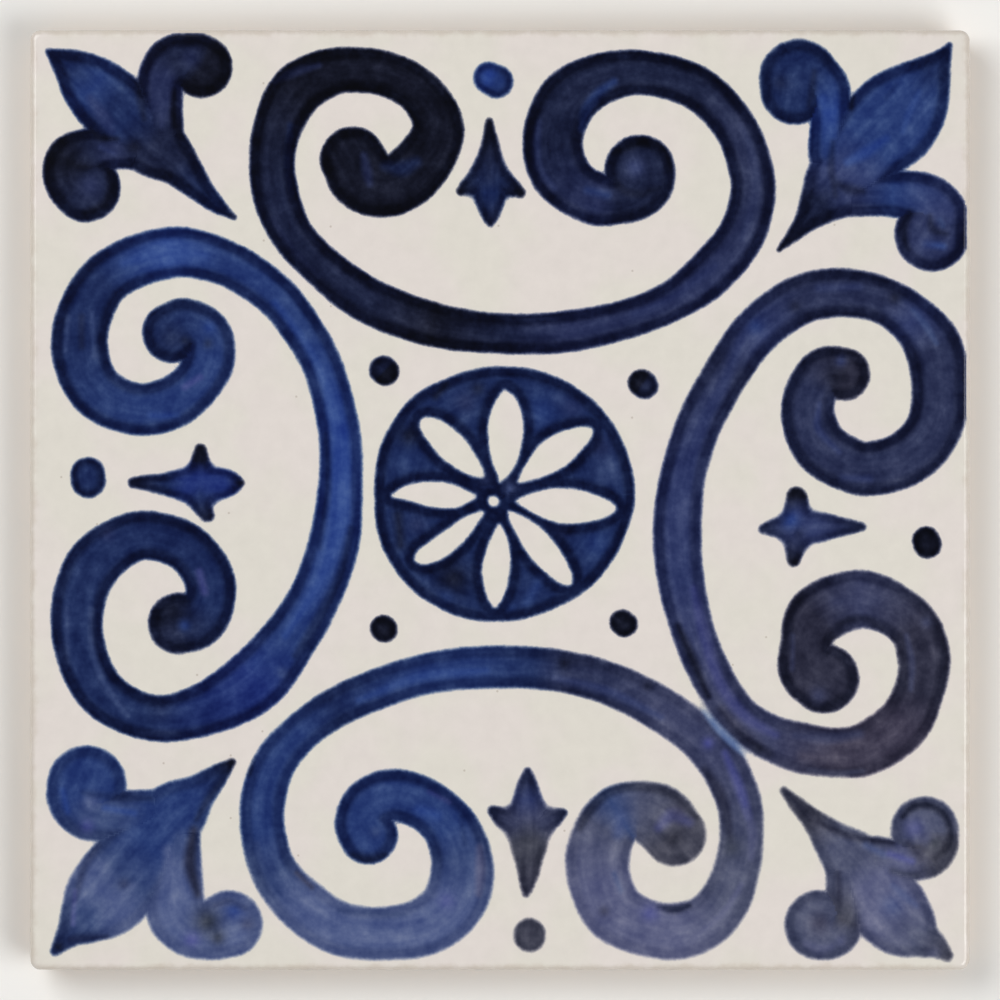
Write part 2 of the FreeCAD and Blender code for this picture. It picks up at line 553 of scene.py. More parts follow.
# C scrolls, one to each side. A stroke runs from one curled end to the other through stations
# (x, y, half width), with a pigment named where it changes.
scrollTop = {
    "strokes": [[
        (-21.95, 50.95, 4.75, "ink"), (-20.2, 48.1, 4.95), (-16.8, 46.9, 4.45), (-12.8, 49.1, 4.35),
        (-9.2, 55.3, 3.75), (-11.8, 60.75, 3.3), (-16.9, 63.6, 3.25), (-23, 64.25, 3.3),
        (-26.8, 63.35, 3.6), (-30.3, 61.1, 3.9, "ink"), (-33.15, 55.7, 3.5), (-33.95, 50, 3.3),
        (-33.2, 44.9, 3.35, "midnight"), (-31.05, 39.9, 3.05), (-27.5, 35.9, 3),
        (-20, 30.15, 3.3, "midnight"), (-10, 26.35, 3.2, "ink"), (0, 25, 2.9, "midnight"),
        (10, 25.3, 3, "navy"), (20, 27.5, 2.8), (26.1, 30.1, 2.95), (30.95, 33.65, 3.45, "navy"),
        (35.95, 39.75, 3.4), (37.7, 46, 3.25, "indigo"), (37.1, 50.5, 3.2), (34.9, 55.85, 3.1, "indigo"),
        (29.4, 61.5, 3.2, "midnight"), (20.5, 63.85, 3.25), (14.2, 62.6, 3.8), (9.9, 59.5, 4.35),
        (7.85, 53.6, 4.4, "midnight"), (8.85, 49.1, 4.35), (11.4, 46.5, 3.95), (14.6, 45, 3.85, "navy"),
        (17.5, 44.8, 3.45, "midnight"), (20, 45.8, 3.9), (21.25, 47.7, 4.6), (20.8, 49.35, 5.15)]],
    "touches": [
        ("navy", 0.6, 0.7, (-20.3, 51.5), (-19.8, 49), (-19.4, 47.3)),
        ("prussian", 0.5, 1, (-17, 50), (-14.5, 49.6), (-12.5, 50.5)),
        ("navy", 0.6, 0.6, (-33.5, 62.5), (-31, 63.8), (-27, 65)),
        ("prussian", 0.5, 0.6, (-31.2, 56), (-31.5, 50), (-31, 46)),
        ("navy", 0.5, 0.5, (-34, 42), (-31, 37.5), (-27, 33.5)),
        ("cobalt", 0.7, 0.7, (17, 62.5), (14.5, 60.5), (12.8, 58), (12.2, 55.5)),
        ("hyacinth", 0.5, 0.7, (5.7, 56.5), (5.3, 53), (5.7, 49.4), (8, 46.6)),
        ("cobalt", 0.5, 0.8, (13, 46.3), (16, 45.6)), ("hyacinth", 0.8, 1.3, (20.1, 49.7)),
        ("ink", 0.5, 0.6, (17.2, 47.6), (18.6, 46.2), (21, 45.8), (23.4, 46.6)),
        ("ink", 0.7, 0.7, (17, 52), (21.5, 53.4), (24.5, 52.3), (25.3, 49.5)),
        ("hyacinth", 0.2, 0.7, (36, 56), (37.5, 52.5), (38, 46), (36, 39)),
        ("hyacinth", 0.5, 0.9, (32, 35), (26, 31), (20, 28))],
    "line": (0.84, 1.2, 0.6),
}
scrollLeft = {
    "strokes": [[
        (-48.8, 25.1, 4.4, "prussian"), (-46.9, 26.5, 3.65), (-43.7, 24.8, 3.6),
        (-43.3, 21.4, 3.75, "cobalt"), (-45.3, 17.5, 3.65), (-49.1, 14.6, 3.85),
        (-54.2, 13.75, 3.8, "cobalt"), (-60.2, 16.6, 4), (-62.65, 23.8, 4.15, "prussian"),
        (-59.05, 32.75, 3.8, "prussian"), (-49.4, 37, 3.75, "bright"), (-41.7, 35.8, 3.35, "cobalt"),
        (-33.7, 30.85, 3.1), (-28.75, 24.55, 2.95, "cobalt"), (-26.3, 19.85, 2.9),
        (-23.9, 10.1, 3.05, "bright"), (-23.75, 3, 3.2, "bright"), (-24.7, -6, 3.7), (-27.5, -14.1, 3.75),
        (-31.2, -20.2, 4.05, "cobalt"), (-36.75, -26.85, 4.65, "royal"), (-44.9, -31.3, 3.75),
        (-52.1, -32.2, 3.35, "prussian"), (-59.5, -28.3, 3.6), (-62.85, -20.5, 3.75), (-62.5, -13.8, 3.9),
        (-60, -8.8, 4), (-55.2, -5.55, 3.65), (-52, -5.1, 3.55), (-46.7, -6.9, 3.55), (-43.3, -11.5, 3.65),
        (-43.4, -15.3, 3.75, "prussian"), (-45.2, -17.7, 4.15), (-47.9, -18.2, 4.45, "midnight")]],
    "touches": [
        ("bright", 0.6, 0.9, (-56, 35.5), (-52, 36.6), (-48, 37), (-44, 36.6)),
        ("bright", 0.6, 0.8, (-33.5, 29.5), (-29, 23), (-25.5, 15), (-23.7, 4)),
        ("midnight", 0.7, 0.7, (-62.3, 27.5), (-62.3, 23)), ("steel", 0.7, 0.5, (-60.8, 28), (-60.5, 21.5)),
        ("steel", 0.6, 0.5, (-64.4, 27.5), (-64.7, 22.5)), ("steel", 0.4, 0.5, (-64.4, -24), (-64.5, -16)),
        ("bright", 0.6, 0.7, (-52, 12.8), (-48, 12.6)), ("iris", 0.5, 0.6, (-47, 17), (-44.7, 18.5)),
        ("bright", 0.6, 1, (-43.2, 26)), ("ink", 0.7, 0.8, (-46.9, 23.9)), ("ink", 0.6, 0.8, (-43.5, 23.5)),
        ("bright", 0.7, 0.8, (-23.4, 2), (-24.2, -4), (-27, -12), (-32, -20)),
        ("ink", 0.5, 0.7, (-22.3, -4), (-24, -11), (-27.5, -18), (-30.5, -23)),
        ("prussian", 0.6, 0.5, (-26, 10), (-25.6, 2), (-26.8, -7)), ("bright", 0.2, 1.3, (-36.5, -24)),
        ("steel", 0.6, 0.9, (-32.3, -25.5)), ("midnight", 0.4, 1.8, (-50.5, -30.8)),
        ("steel", 0.6, 0.6, (-54, -34.6), (-48, -34.6)),
        ("steel", 0.6, 0.5, (-60.8, -16), (-60.6, -22), (-59, -27), (-55.5, -32)),
        ("hyacinth", 0.7, 1, (-58.5, -4.8)), ("iris", 0.5, 0.7, (-44.8, -10.5), (-44, -13.5)),
        ("ink", 0.7, 2, (-49, -16.5)), ("ink", 0.5, 1.2, (-50.6, -18)), ("midnight", 0.5, 2, (-49, 24.2)),
        ("bright", 0.5, 0.8, (-47, -18.5))],
    "line": (0.75, 1.15, 0.6),
}
# right and bottom, which meet below on the right and are painted as one
scrollsMeeting = {
    "web": 1.5,
    "strokes": [
        [(51.2, 18.95, 3.85, "charcoal"), (48.6, 19.05, 3.85), (46.5, 16.6, 3.75, "indigo"),
         (45.85, 13, 3.9), (47.7, 8.2, 4.05), (52, 5.45, 3.95), (54.8, 4.85, 3.95), (60.3, 6.3, 4.05),
         (63.85, 9.6, 4.1), (65.5, 14.6, 4.15), (64.6, 22.8, 4.2, "indigo"), (61.5, 27, 3.65, "hyacinth"),
         (57, 29.9, 3.4, "indigo"), (51.3, 31.05, 3.55), (45.1, 30.15, 3.6, "indigo"),
         (38.5, 25.6, 3.5, "hyacinth"), (34.25, 19.9, 3.35, "indigo"), (29.9, 12.05, 3.3),
         (27.3, 4, 3.3, "hyacinth"), (26.4, -4, 3.55), (27, -12.05, 3.4, "hyacinth"), (29, -20.15, 3.1),
         (30.75, -24.45, 3.1), (33.3, -29, 3, "dusk"), (36, -32.4, 3.1), (39.9, -35, 3.3, "dusk"),
         (44.8, -36.7, 3.7), (50, -37.4, 3.6, "plum"), (54, -37.05, 3.85), (60, -33.1, 3.95, "plum"),
         (62.4, -28.3, 3.65, "charcoal"), (63.15, -23.6, 3.85), (61.8, -19, 3.8, "charcoal"),
         (58.5, -16.1, 3.85), (53.5, -14.6, 4.3, "dusk"), (47.1, -17.2, 4.4, "charcoal"),
         (45.6, -21.2, 3.7), (46.05, -24.9, 4.55), (48.3, -26.4, 5.1)],
        [(-19.6, -49.7, 4.3, "cobalt"), (-20.5, -47.8, 4.05), (-19.4, -45.2, 3.9), (-16.2, -43.8, 3.85),
         (-12.6, -44.5, 3.85), (-9.9, -46.1, 3.85), (-7.4, -48.6, 4.05, "cobalt"),
         (-5.75, -53, 4.5, "steel"), (-5.8, -56.9, 4.75), (-7.5, -60.6, 4.55, "slate"),
         (-10.8, -63.1, 4.35), (-16.5, -64.35, 3.95), (-23.9, -63.6, 3.95), (-29.3, -60.2, 3.9, "slate"),
         (-33.45, -55.4, 3.45, "steel"), (-35.3, -49.2, 3.25, "cobalt"), (-35.2, -43.8, 3.25),
         (-33.3, -38.6, 3.1), (-29.65, -34.4, 2.85, "cobalt"), (-24.6, -30.8, 2.9, "prussian"),
         (-18.95, -28.25, 2.95), (-11.45, -25.8, 2.95, "cobalt"), (-4, -24.8, 3.1, "cobalt"),
         (5, -24.8, 3.05, "prussian"), (10, -25.45, 3.05, "indigo"), (15, -26.7, 3.1, "indigo"),
         (20.05, -28.8, 3.2), (25.1, -31.7, 3.25, "dusk"), (29.4, -34.9, 3.25), (32.5, -38.2, 3.4, "dusk"),
         (34.35, -41.5, 3.35), (35.75, -45.5, 3.3), (36, -49.5, 3.2, "pewter"), (35.45, -54, 3.35),
         (33.6, -59.2, 3.7, "pewter"), (30.75, -62.5, 3.95), (26.5, -64, 4.2, "mist"), (21.2, -63.35, 4.2),
         (17, -61.05, 4.55), (14.9, -56.8, 4.65, "mist"), (14.55, -53, 4.75), (15.75, -49, 4.55, "pewter"),
         (17.75, -46.75, 4.45, "steel"), (20.8, -46.05, 4.35, "pewter"), (23.7, -47.1, 4.85),
         (26, -49.6, 4.7, "ash")]],
    "touches": [
        ("hyacinth", 0.6, 0.9, (36, 24), (33, 17), (30, 11), (28, 2), (28.9, -12)),
        ("cobalt", 0.6, 1.2, (38, 26)), ("hyacinth", 0.5, 0.8, (47.5, 31.7), (53.5, 32)),
        ("ink", 0.6, 1, (44, 29)), ("ink", 0.8, 1.1, (58.8, 30.3)),
        ("steel", 0.6, 0.5, (61.5, 28.5), (63.5, 26), (65, 23.5)),
        ("hyacinth", 0.7, 0.8, (51, 3.4), (55, 3.3)),
        ("hyacinth", 0.7, 0.5, (47.6, 14.5), (47.3, 11), (50.5, 7.3)), ("ink", 0.6, 2, (50, 18.5)),
        ("hyacinth", 0.8, 0.8, (50.8, 21)),
        ("iris", 0.4, 0.8, (28.9, -13), (30.3, -19), (32.8, -27), (36.5, -32), (41, -34.8)),
        ("ink", 0.8, 0.7, (26.5, -18.5), (28.5, -23), (31, -29)),
        ("charcoal", 0.7, 1, (33, -31), (36.5, -35), (40, -37.5)), ("ink", 0.6, 0.8, (38.3, -37)),
        ("dusk", 0.8, 0.9, (44, -34.8), (49, -35.1), (53.5, -34.6)),
        ("plum", 0.7, 1.2, (45, -38), (51, -38.8), (56, -37.8)),
        ("dusk", 0.6, 0.5, (60.5, -20), (61.3, -24), (61.2, -28)), ("dusk", 0.7, 0.8, (63.5, -18)),
        ("dusk", 0.6, 1.2, (50, -15), (56, -14.7)), ("dusk", 0.6, 0.5, (43.6, -20), (43.5, -25)),
        ("dusk", 0.7, 1.2, (47.4, -29)),
        ("ink", 0.5, 0.6, (50.4, -18.3), (52.2, -17.6), (54.5, -17.6), (57, -18.9)),
        ("pewter", 0.5, 0.5, (46, -40), (50, -40.6), (54, -40.2)),
        ("bright", 0.5, 0.7, (-2, -25.2), (-12, -26.2), (-21, -29.6)),
        ("ink", 0.7, 0.7, (-37, -38.3), (-37.4, -40.5)),
        ("steel", 0.7, 0.5, (-36.2, -51), (-34.8, -55.5), (-32.6, -58.6)),
        ("plum", 0.7, 0.5, (-30.3, -55.3), (-28, -57.5)), ("steel", 0.6, 0.5, (-24, -61), (-14, -61.6)),
        ("iris", 0.5, 1.2, (-8, -59.5)), ("mist", 0.9, 0.7, (-3, -51.5), (-2.9, -55), (-3.2, -58.5)),
        ("prussian", 0.6, 0.6, (-5.8, -47), (-5.2, -51)), ("iris", 0.4, 0.5, (-10.5, -43.2), (-7.5, -44.8)),
        ("bright", 0.7, 1.1, (-12, -46), (-9.5, -46.8)), ("steel", 0.7, 0.8, (-18.5, -49.2)),
        ("ink", 0.6, 0.6, (-22, -52.6), (-19.5, -53.4), (-17, -52.6)), ("ink", 0.7, 1, (9.5, -24.2)),
        ("ink", 0.6, 0.8, (22, -27.5)), ("hyacinth", 0.8, 0.7, (8, -26.4), (16, -28.4), (24, -32.2)),
        ("iris", 0.8, 0.8, (31, -36)), ("iris", 0.6, 0.7, (33.5, -37.5), (35.8, -43), (37, -47)),
        ("mist", 0.8, 0.7, (36.8, -46), (37.7, -49.5), (37.4, -53)),
        ("charcoal", 0.6, 0.9, (30.5, -40), (33, -44), (34.2, -50)), ("soot", 0.6, 1.5, (34.5, -51.5)),
        ("mist", 0.7, 0.5, (36, -57), (33.5, -61), (29, -65)),
        ("midnight", 0.9, 0.6, (23.5, -60.4), (26, -60.8), (28.2, -60.2)),
        ("iris", 0.7, 1.3, (22.4, -61.2)), ("charcoal", 0.6, 0.8, (15.5, -61)),
        ("steel", 0.7, 0.6, (17, -55.5), (18, -58)), ("slate", 0.7, 1.2, (17.6, -49.5), (18, -47)),
        ("ink", 0.5, 0.7, (11.9, -48.8), (13, -46.6), (16.4, -43.2), (21, -42.5), (25.5, -43.6),
         (29.2, -47)),
        ("iris", 0.4, 0.9, (23.6, -48.6), (25.6, -46.8), (28.2, -47.8)), ("ink", 0.7, 1.2, (25.8, -50.2)),
        ("plum", 0.4, 1.3, (26.5, -46.2)), ("charcoal", 0.2, 0.8, (22.3, -52), (26, -53.8), (30, -51.4)),
        ("sky", 0.8, 0.5, (30.4, -31.2), (32.4, -33.7), (35, -36.3), (37, -38))],
    "line": ([(0.78, 0.75, 0.65, 0.5, 0.7), (0.7, 0.45, 0.45, 0.4, 0.4)], 1.2, 0.6),
}
for name, motif in (("scroll_top", scrollTop), ("scroll_left", scrollLeft),
                    ("scrolls_right_bottom", scrollsMeeting)):
    paintStrokes(name, motif, painted)

# corner fleurs: a lance from stem to tip, and a curl to each side
fleurTopLeft = {
    "strokes": [
        [(-39.6, 42.3, 0.3, "midnight"), (-42, 44, 1.1, "prussian"), (-44.85, 46.7, 1.95),
         (-48.3, 50.45, 3.25, "midnight"), (-51.7, 53.2, 4.75, "midnight"), (-55.5, 56.8, 5.3, "prussian"),
         (-57.9, 59.2, 5.2, "prussian"), (-60.5, 61.6, 4.6, "cobalt"), (-63.15, 64.1, 3, "prussian"),
         (-65.5, 65.8, 1.5), (-67.3, 67, 0.35)],
        [(-50.7, 55, 3.5, "midnight"), (-50.6, 59, 3.3, "navy"), (-50.35, 63, 3.55, "navy"),
         (-48.6, 65.25, 4, "midnight"), (-46, 65.6, 4.3, "midnight"), (-44.5, 64.75, 4.55, "ink")],
        [(-54, 52.6, 3.05, "midnight"), (-57.4, 52.45, 3, "navy"), (-61, 51.8, 3.7, "midnight"),
         (-63.2, 50.1, 4.6, "ink"), (-63, 48.2, 4.85), (-61.65, 46.75, 5.05, "midnight")]],
    "touches": [
        ("hyacinth", 0.6, 0.9, (-61, 60), (-59, 57), (-58, 55.3)),
        ("ink", 0.6, 0.7, (-54, 63), (-53.5, 60), (-53, 57)),
        ("navy", 0.7, 0.6, (-49.8, 64), (-50.2, 60), (-50.4, 56)),
        ("ink", 0.8, 0.6, (-48.5, 61), (-48.5, 57), (-47.5, 54)),
        ("ink", 0.7, 0.5, (-61, 55.3), (-59.5, 54.2), (-57, 54)),
        ("hyacinth", 0.6, 0.5, (-59.5, 52.8), (-57.5, 51.8)), ("ink", 0.7, 1.3, (-54.5, 52.8)),
        ("navy", 0.8, 1.6, (-61, 47)), ("navy", 0.6, 1.3, (-46, 66)),
        ("ink", 0.7, 0.7, (-58.3, 49), (-57.8, 47), (-58.8, 44.3), (-61.7, 43))],
    "line": (0.84, 1.25, 0.6),
}
fleurTopRight = {
    "strokes": [
        [(41.6, 37.5, 0.3, "ink"), (43.55, 39.5, 0.9), (45.45, 41.6, 1.6, "midnight"),
         (48.05, 44.75, 3.3, "midnight"), (51.3, 48.3, 5.5, "hyacinth"), (55.4, 53.7, 6.25, "cobalt"),
         (58.6, 56.9, 6.9), (61.4, 60, 5.4, "cobalt"), (64.05, 63.45, 2.95, "prussian"), (66, 66.3, 1.15),
         (66.95, 67.9, 0.35)],
        [(49, 52, 3.05, "cobalt"), (49.1, 58, 3, "bright"), (48.5, 61.2, 3.6, "cobalt"),
         (46.5, 63.1, 4.2, "prussian"), (44.4, 63.3, 5.45), (44, 61.4, 5.2)],
        [(53, 45.7, 3.2, "navy"), (58.5, 45.8, 3.4, "cobalt"), (63.4, 44.9, 3.85),
         (65.2, 42.9, 4.3, "hyacinth"), (64.9, 40.9, 4.9, "navy"), (64.35, 39.85, 5.5)]],
    "touches": [
        ("ink", 0.8, 0.6, (52.5, 60.2), (52.3, 58.5)),
        ("ink", 0.5, 0.6, (49.6, 53.5), (49.3, 50), (50, 45.5)),
        ("ink", 0.6, 0.8, (50.5, 47.2), (52, 46.5), (54, 46.2)),
        ("bright", 0.7, 0.8, (51.8, 50.5), (54.5, 52), (57.5, 54)),
        ("bright", 0.6, 0.8, (48, 60), (47.5, 57)), ("ink", 0.5, 0.6, (46.8, 64), (46.5, 61), (46, 59)),
        ("ink", 0.6, 0.6, (64, 42.5), (64.5, 40.5), (66.5, 39.8)),
        ("bright", 0.6, 0.7, (63.5, 38.3), (66, 38)), ("steel", 0.6, 0.5, (65.5, 42), (66, 41)),
        ("bright", 0.4, 0.5, (62.5, 61), (61, 58), (60, 55)), ("prussian", 0.4, 0.5, (59, 62), (57.5, 60)),
        ("hyacinth", 0.7, 1.3, (63.3, 38.3)), ("ink", 0.6, 0.7, (61, 43), (60.1, 40.4), (60.6, 37.6)),
        ("midnight", 0.6, 1.4, (41.7, 62.3))],
    "line": (0.76, 1.2, 0.6),
}
fleurBottomLeft = {
    "strokes": [
        [(-40, -38.9, 0.55, "ink"), (-42.3, -41, 1.65, "prussian"), (-45.3, -43.75, 2.85, "cobalt"),
         (-48.6, -46.7, 4.75), (-52.5, -51.3, 5.8, "cobalt"), (-56.1, -55.7, 6.3, "steel"),
         (-58.4, -58.6, 6.15, "slate"), (-61.1, -61.4, 4.25, "steel"), (-63.6, -63.9, 2.25),
         (-66.3, -67, 0.65, "prussian")],
        [(-52.5, -46.7, 3.7, "cobalt"), (-56.5, -46.8, 3.85, "steel"), (-61.2, -46, 4.4, "steel"),
         (-62.2, -44, 5.2, "cobalt"), (-61.55, -42.3, 5.85)],
        [(-48.1, -50, 3.4, "steel"), (-48.2, -56.5, 3.95, "slate"), (-48.2, -61.2, 4.45),
         (-46.4, -63.5, 4.15), (-43.5, -64, 4.25), (-40.35, -62.95, 4.95)]],
    "touches": [
        ("slate", 0.8, 1.2, (-60.8, -44.9)), ("bright", 0.7, 0.6, (-65.2, -43), (-64.4, -46.2)),
        ("bright", 0.7, 0.7, (-58.8, -45.7), (-54.5, -46.4)), ("iris", 0.6, 1, (-61.5, -48.4)),
        ("prussian", 0.7, 0.6, (-62, -43.4), (-58, -44), (-52, -44.2)),
        ("midnight", 0.6, 0.5, (-41.6, -41.8), (-43.7, -44.8), (-45.2, -47.4)),
        ("navy", 0.6, 0.6, (-63.3, -59.5), (-61.8, -54.4), (-59.8, -51.2)),
        ("charcoal", 0.8, 0.9, (-45.6, -49), (-46.2, -54), (-45, -58.5)),
        ("slate", 0.7, 1, (-49.5, -52), (-48.8, -57), (-49.8, -64)), ("slate", 0.7, 1.8, (-60, -54.6)),
        ("navy", 0.8, 0.9, (-56, -57)), ("slate", 0.6, 0.7, (-54.5, -57.2), (-57.5, -59.6)),
        ("iris", 0.5, 0.5, (-63.3, -58), (-63.6, -63)), ("navy", 0.7, 0.6, (-64, -65.2), (-58.5, -64.9)),
        ("ink", 0.8, 0.8, (-65.8, -66.3)), ("soot", 0.9, 2.2, (-43.6, -62.6)),
        ("soot", 0.8, 1.2, (-42, -65)), ("iris", 0.8, 1.1, (-45.9, -65.3)),
        ("slate", 0.8, 1.5, (-38.6, -65.8)), ("bright", 0.7, 1.2, (-39.6, -60.8)),
        ("navy", 0.5, 0.6, (-42.4, -60.2), (-40.4, -59.7), (-38, -60.6)), ("dusk", 0.7, 1, (-37.7, -63))],
    "line": (0.45, 1.2, 0.65),
}
fleurBottomRight = {
    "strokes": [
        [(42.3, -43.1, 0.6, "ash"), (44.35, -45.3, 1.15), (46.75, -47.6, 1.7, "ash"),
         (50.15, -51.15, 3.2, "pewter"), (53, -53.9, 4.6, "pewter"), (55, -56.8, 5.2, "mist"),
         (57.7, -60.4, 5.75, "mist"), (59.75, -62.7, 5), (62.05, -64.65, 3.2, "pewter"),
         (64.85, -66.2, 1.75), (66.6, -67.7, 0.85, "ash")],
        [(56, -53.3, 3.4, "pewter"), (60, -53.5, 3.2, "mist"), (63.4, -52.1, 3.95, "ash"),
         (63.75, -50.7, 4.5, "ash"), (63.25, -49.05, 5.05, "pewter")],
        [(51.7, -55.5, 3.1, "pewter"), (51.7, -59.3, 3.3), (50.8, -62.3, 3.4, "ash"),
         (49.2, -63.5, 4.5, "pewter"), (47.6, -63.1, 5.15)]],
    "touches": [
        ("charcoal", 0.8, 0.8, (42.5, -43.4), (46.2, -47.2)),
        ("charcoal", 0.7, 0.6, (47, -47.8), (52, -49.8), (58.5, -50.9)),
        ("slate", 0.7, 0.7, (54.5, -51.2), (57.2, -52.6)), ("iris", 0.7, 0.7, (58, -52.5), (61.3, -53.6)),
        ("iris", 0.5, 1.4, (61.7, -48.7)), ("mist", 0.6, 1, (63.4, -50.3)), ("soot", 0.7, 1, (64.8, -51)),
        ("ink", 0.6, 0.6, (60, -47), (61.3, -45.7), (63.3, -45.3), (65.8, -46.4), (67, -48.8),
         (66.5, -51.4), (64.8, -53.2)),
        ("charcoal", 0.7, 0.8, (60.8, -51), (62.8, -53)), ("soot", 0.5, 0.8, (58.5, -55), (62, -55.8)),
        ("slate", 0.5, 0.6, (58.5, -57.2), (60, -58.6), (62, -60.2)), ("slate", 0.6, 1.6, (58.4, -60.2)),
        ("charcoal", 0.6, 0.8, (50.3, -55.5), (50.6, -60)), ("plum", 0.6, 1.6, (47.6, -62.8)),
        ("mist", 0.7, 0.8, (45.6, -66), (47.6, -66.8), (49.4, -66.4)), ("soot", 0.3, 1.8, (52, -61.4)),
        ("mist", 0.7, 0.8, (50.8, -65.6)), ("mist", 0.6, 0.9, (64.6, -67.4))],
    "line": (0.75, 1, 0.6),
}
for name, motif in (("fleur_top_left", fleurTopLeft), ("fleur_top_right", fleurTopRight),
                    ("fleur_bottom_left", fleurBottomLeft), ("fleur_bottom_right", fleurBottomRight)):
    paintStrokes(name, motif, painted)

# small sprigs between the curls
sprigTop = {
    "web": 1.2,
    "strokes": [
        [(-1.6, 56.5, 0.5, "ink"), (-1.5, 54, 1.05), (-1.5, 51, 1.85, "midnight"),
         (-1.6, 48.5, 2.7, "midnight"), (-1.5, 46, 2.5, "prussian"), (-1.5, 44, 1.8), (-1.45, 42.5, 1.15),
         (-1.4, 41.4, 0.45, "midnight")],
        [(-1.6, 48.8, 1.6, "prussian"), (-4.2, 47.2, 1.4), (-5.8, 46.2, 0.6, "ink")],
        [(-1.4, 48.6, 1.6, "prussian"), (1.2, 47, 1.45), (3, 46, 0.7, "ink")]],
    "line": (0.7, 0.75, 0.5),
}
sprigLeft = {
    "web": 1.2,
    "strokes": [
        [(-54.6, 2.75, 0.75, "midnight"), (-52.5, 2.75, 1.1), (-49.5, 2.55, 1.7, "prussian"),
         (-46.5, 2.5, 2.5, "royal"), (-43.5, 2.6, 2.6), (-41, 2.65, 2.1, "royal"), (-39.5, 2.7, 1.2),
         (-38.5, 2.75, 0.4, "ink")],
        [(-44.6, 7.7, 0.8, "ink"), (-44.65, 6, 1.35, "ink"), (-44.7, 3.5, 2, "royal"),
         (-44.6, 1, 2.1, "prussian"), (-44.25, -0.8, 1.4), (-43.65, -2, 1.05, "midnight")]],
    "line": (0.7, 0.75, 0.5),
}
sprigRight = {
    "web": 1.2,
    "strokes": [
        [(39.2, -4.1, 0.65, "midnight"), (41.5, -3.9, 1.5), (44, -3.9, 2.45, "hyacinth"),
         (47, -3.85, 2.35, "hyacinth"), (50, -3.8, 1.55, "navy"), (52.3, -3.8, 1.05),
         (53.9, -3.8, 0.55, "midnight")],
        [(44.2, 0.6, 1.5, "ink"), (44.2, -2, 1.95, "hyacinth"), (44.2, -5, 1.9, "navy"),
         (43.95, -7.4, 1.35), (43.75, -8.8, 0.9, "ink")]],
    "touches": [
        ("bright", 0.7, 1.2, (43.3, -2.8)), ("ink", 0.4, 1, (44.5, -4.8))],
    "line": (0.45, 0.7, 0.5),
}
sprigBottom = {
    "web": 1.2,
    "strokes": [
        [(4.1, -40.2, 0.5, "indigo"), (4.1, -42, 1.35, "indigo"), (4.1, -44.5, 2.15, "hyacinth"),
         (4.2, -47.5, 3.1, "dusk"), (4.3, -50.5, 2.9, "ash"), (4.25, -53, 2.1), (4.2, -55.5, 1.5),
         (4.05, -57.5, 0.9), (3.9, -58.5, 0.45, "charcoal")],
        [(2.5, -48, 2, "dusk"), (0.5, -47.1, 1.5), (-1, -46.1, 0.75, "midnight")],
        [(6, -48, 2, "dusk"), (7.9, -47.1, 1.4), (9.3, -46.4, 0.65, "midnight")]],
    "touches": [("soot", 0.4, 3.5, (4.2, -50.5))],
    "line": (0.45, 0.7, 0.5),
}
for name, motif in (("sprig_top", sprigTop), ("sprig_left", sprigLeft),
                    ("sprig_right", sprigRight), ("sprig_bottom", sprigBottom)):
    paintStrokes(name, motif, painted)

# single touches of the brush: one on each side and one at each corner of the medallion
dots = {
    "dot_top": [(-1.6, 63.1, 2.3, "bright"), (-0.5, 62.5, 2.4, "cobalt")],
    "dot_left": [(-61.4, 4, 2.5, "prussian"), (-61.3, 3.1, 2.5, "prussian")],
    "dot_right": [(63.45, -5.8, 1.95, "ink"), (63.65, -6.4, 2, "ink")],
    "dot_bottom": [(4.4, -64.5, 2.35, "ash"), (4.4, -64.7, 2.35, "ash")],
    "dot_inner_top_left": [(-17.4, 19.6, 2, "midnight"), (-17.1, 19.3, 2, "ink")],
    "dot_inner_top_right": [(21.1, 17.6, 1.95, "ink"), (21.5, 17.3, 1.95, "midnight")],
    "dot_inner_bottom_left": [(-17.4, -18.9, 1.85, "ink"), (-17.2, -19.1, 1.85, "ink")],
    "dot_inner_bottom_right": [(18.2, -18, 1.8, "ink"), (18.6, -18.3, 1.8, "ink")],
}
for name, stations in dots.items():
    paintStrokes(name, {"strokes": [stations], "line": (0.8, 0.6, 0.6)}, painted)

